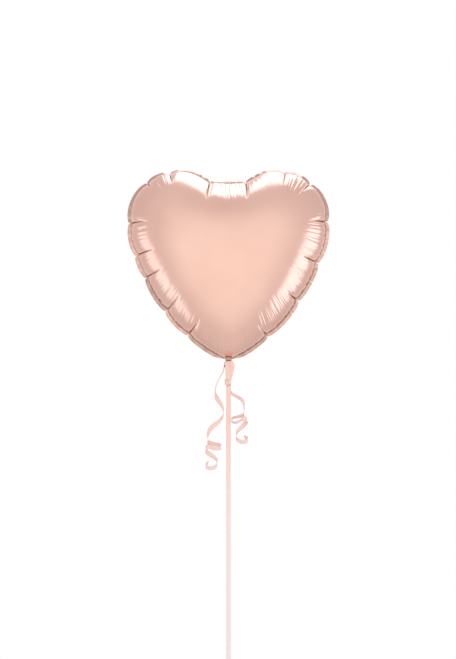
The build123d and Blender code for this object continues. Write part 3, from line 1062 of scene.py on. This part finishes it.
def ribbon_material():
    """Pale peach curling ribbon with fine grooves along its length, paler towards its end."""
    material, nodes, links, shader, place = new_material("ribbon")
    z = split(nodes, links, place)["Z"]
    height = spread(nodes, links, z, low=0.0, high=1.0, start=RIBBON_BOTTOM_Z, end=0.0)
    tint = colour_ramp(nodes, links, height, RIBBON_STOPS)
    along = stretch(nodes, links, place, (1, 1, 0.02))
    grooves = add_noise(nodes, links, along, scale=1800.0, detail=2.0).outputs["Fac"]
    # Painted shade: the fine grooves are a little darker in colour, by the noise that bumps them.
    shade = colour_ramp(nodes, links, grooves, ((0.2, (0.93,) * 3), (0.8, (1, 1, 1))))
    mix = nodes.new("ShaderNodeMix")
    mix.data_type = "RGBA"
    mix.blend_type = "MULTIPLY"
    mix.inputs["Factor"].default_value = 1.0
    links.new(tint, mix.inputs[6])
    links.new(shade, mix.inputs[7])
    links.new(mix.outputs[2], shader.inputs["Base Color"])
    shader.inputs["Roughness"].default_value = 0.38
    shader.inputs["Specular IOR Level"].default_value = 0.5
    add_bump(nodes, links, grooves, shader, strength=0.15, distance=0.0001)
    return material


def valve_material():
    """Milky clear plastic film with faint streaks."""
    material, nodes, links, shader, place = new_material("valve_film")
    along = stretch(nodes, links, place, (1, 1, 0.1))
    streaks = add_noise(nodes, links, along, scale=300.0).outputs["Fac"]
    tint = colour_ramp(nodes, links, streaks, ((0.3, (0.80, 0.82, 0.83)), (0.7, (0.90, 0.91, 0.92))))
    links.new(tint, shader.inputs["Base Color"])
    links.new(spread(nodes, links, streaks, low=0.25, high=0.4), shader.inputs["Roughness"])
    shader.inputs["Transmission Weight"].default_value = 0.6
    return material


def paint(material, *pieces):
    """Gives the pieces one material."""
    for piece in pieces:
        piece.data.materials.clear()
        piece.data.materials.append(material)


RIBBON_PIECES = (hanging_ribbon, hand_loop, left_curl, right_curl, binding, knot, loop_knot)
RIBBON_PIECES += (left_strand, right_strand)
FOIL_PIECES = (front_panel, back_panel, neck_film, neck_tail)
VALVE_PIECES = tuple(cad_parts[name] for name in ("valve_front_film", "valve_back_film"))
paint(foil_material(), *FOIL_PIECES)
paint(ribbon_material(), *RIBBON_PIECES)
paint(valve_material(), *VALVE_PIECES)

# ---- What each rigid piece rides on, and the CAD parts that the pieces stand for ----

RIGHT_CURL_NODES = ("right_curl_lead", "right_curl_stem", "right_curl_coil")
RIGID = (  # piece, body, CAD node
    (front_panel, "balloon", "front_foil"),
    (back_panel, "balloon", "back_foil"),
    (binding, "tie", "neck_wrap"),
    (knot, "ribbon", "ribbon_knot"),
    (hanging_ribbon, "ribbon", "long_ribbon"),
    (loop_knot, "ribbon", "loop_knot"),
)
BENDING = (  # piece, its two bodies, where it starts and stops bending in mm, CAD nodes
    (neck_film, "balloon", "tie", (0, 0, 12), (0, 0, 4), "neck_gather"),
    (neck_tail, "tie", "ribbon", (0, 0, -3), (0, 0, -9), "film_tail"),
    (left_strand, "tie", "ribbon", (0, 0, -3), (0, 0, -9), "left_strand"),
    (right_strand, "tie", "ribbon", (0, 0, -3), (0, 0, -9), "right_strand"),
    (left_curl, "tie", "left_curl", (-7.6, 0, -4), (-7.6, 0, -12), "left_curl_stem", "left_curl_coil"),
    (right_curl, "ribbon", "right_curl", (3, 0, -50), (9, 0, -58), *RIGHT_CURL_NODES),
    (hand_loop, "ribbon", "loop", (0, 0, -568), (0, 0, -576), "hand_loop"),
)
for piece, body, node in RIGID:
    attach(piece, body)
    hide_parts(node)
for piece, first, second, start, end, *cad_nodes in BENDING:
    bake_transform(piece)
    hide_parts(*cad_nodes)


def declare_cord(piece, line, length, **facts):
    """Gathers a ribbon's facts as a flat cord along its own line; they are not kept."""
    facts.update(exit=line[0].tolist(), path=line.tolist(), stiffness="medium")


declare_cord(hanging_ribbon, hang, 0.522, far_end="knot", lay="taut", with_pieces=[loop_knot])
declare_cord(hand_loop, loop_line, 0.2, far_end="object", lay="hanging")
declare_cord(left_curl, left_line, 0.33, far_end="bare", lay="hanging")
declare_cord(right_curl, right_line, 0.23, far_end="bare", lay="hanging")

# ---- Floor and light ----

FLOOR_Z = -660 * MM
FLOOR_RADIUS, FLOOR_SIDES = 420 * MM, 96
FLOOR_DEEP = (0.80, 0.785, 0.755)
FLOOR_PALE = (0.84, 0.825, 0.795)


def make_floor():
    """A plain pale round floor under the hanging ribbon."""
    angles = np.linspace(0, 2 * math.pi, FLOOR_SIDES, endpoint=False)
    ring = [(FLOOR_RADIUS * math.cos(a), FLOOR_RADIUS * math.sin(a), FLOOR_Z) for a in angles]
    floor = make_mesh("floor", ring, [tuple(range(len(ring)))])
    material, nodes, links, shader, place = new_material("floor")
    tint = clouded(nodes, links, place, 3.0, FLOOR_DEEP, FLOOR_PALE)
    links.new(tint, shader.inputs["Base Color"])
    shader.inputs["Roughness"].default_value = 0.8
    floor.data.materials.append(material)


ROOM_TILT = 0.115  # how far below the level the room is brightest
WORLD_STOPS = (  # from the sides to the front and back
    (0.0, (0.72, 0.70, 0.73)),
    (0.55, (0.785, 0.765, 0.785)),
    (0.83, (1.005, 1.005, 1.005)),
    (1.0, (1.06, 1.055, 1.055)),
)


def make_world():
    """White where the camera looks past the object, and a soft grey room for light elsewhere."""
    world = bpy.data.worlds.new("room")
    bpy.context.scene.world = world
    world.use_nodes = True
    nodes, links = world.node_tree.nodes, world.node_tree.links
    seen = nodes["Background"]
    seen.inputs["Color"].default_value = (1, 1, 1, 1)
    room = nodes.new("ShaderNodeBackground")
    parts = split(nodes, links, nodes.new("ShaderNodeTexCoord").outputs["Generated"])
    size = nodes.new("ShaderNodeMath")
    size.operation = "ABSOLUTE"
    links.new(parts["Y"], size.inputs[0])
    lower = nodes.new("ShaderNodeMath")
    lower.operation = "MULTIPLY_ADD"
    links.new(parts["Z"], lower.inputs[0])
    lower.inputs[1].default_value = -ROOM_TILT
    links.new(size.outputs["Value"], lower.inputs[2])
    glow = colour_ramp(nodes, links, lower.outputs["Value"], WORLD_STOPS)
    links.new(glow, room.inputs["Color"])
    mix = nodes.new("ShaderNodeMixShader")
    path = nodes.new("ShaderNodeLightPath")
    links.new(path.outputs["Is Camera Ray"], mix.inputs["Fac"])
    links.new(room.outputs["Background"], mix.inputs[1])
    links.new(seen.outputs["Background"], mix.inputs[2])
    links.new(mix.outputs["Shader"], nodes["World Output"].inputs["Surface"])


WINDOW = (0.70, 0.87, 1.0)  # the cool white of the panel lights
LIGHTS = (  # name, place, size across, size along, radiance
    ("top", (0.25, 0.75, 2.0), 1.4, 2.2, 1.45),
    ("left", (-1.6, -0.15, -0.45), 0.8, 1.7, 0.68),
    ("right", (1.6, -0.15, -0.3), 1.1, 1.5, 1.03),
)
FILL = ("fill", (0.0, -2.4, 0.5), 2.0, 2.0, 0.75)
LIGHT_AIM = Vector((0, 0, 0.2))


def make_light(name, place, across, along, radiance, colour=WINDOW):
    """A soft panel light that faces the balloon."""
    data = bpy.data.lights.new(name, "AREA")
    data.shape = "RECTANGLE"
    data.size, data.size_y = across, along
    data.energy = radiance * math.pi * across * along
    data.color = colour
    light = bpy.data.objects.new(name, data)
    light.location = place
    light.rotation_mode = "QUATERNION"
    light.rotation_quaternion = (LIGHT_AIM - Vector(place)).to_track_quat("-Z", "Y")
    light.visible_camera = False
    bpy.context.scene.collection.objects.link(light)
    return light


make_floor()
make_world()
for facts in LIGHTS:
    make_light(*facts)
fill = make_light(*FILL, colour=(1, 1, 1))
fill.visible_glossy = False
bpy.context.scene.view_settings.view_transform = "Standard"

bpy.context.view_layer.update()
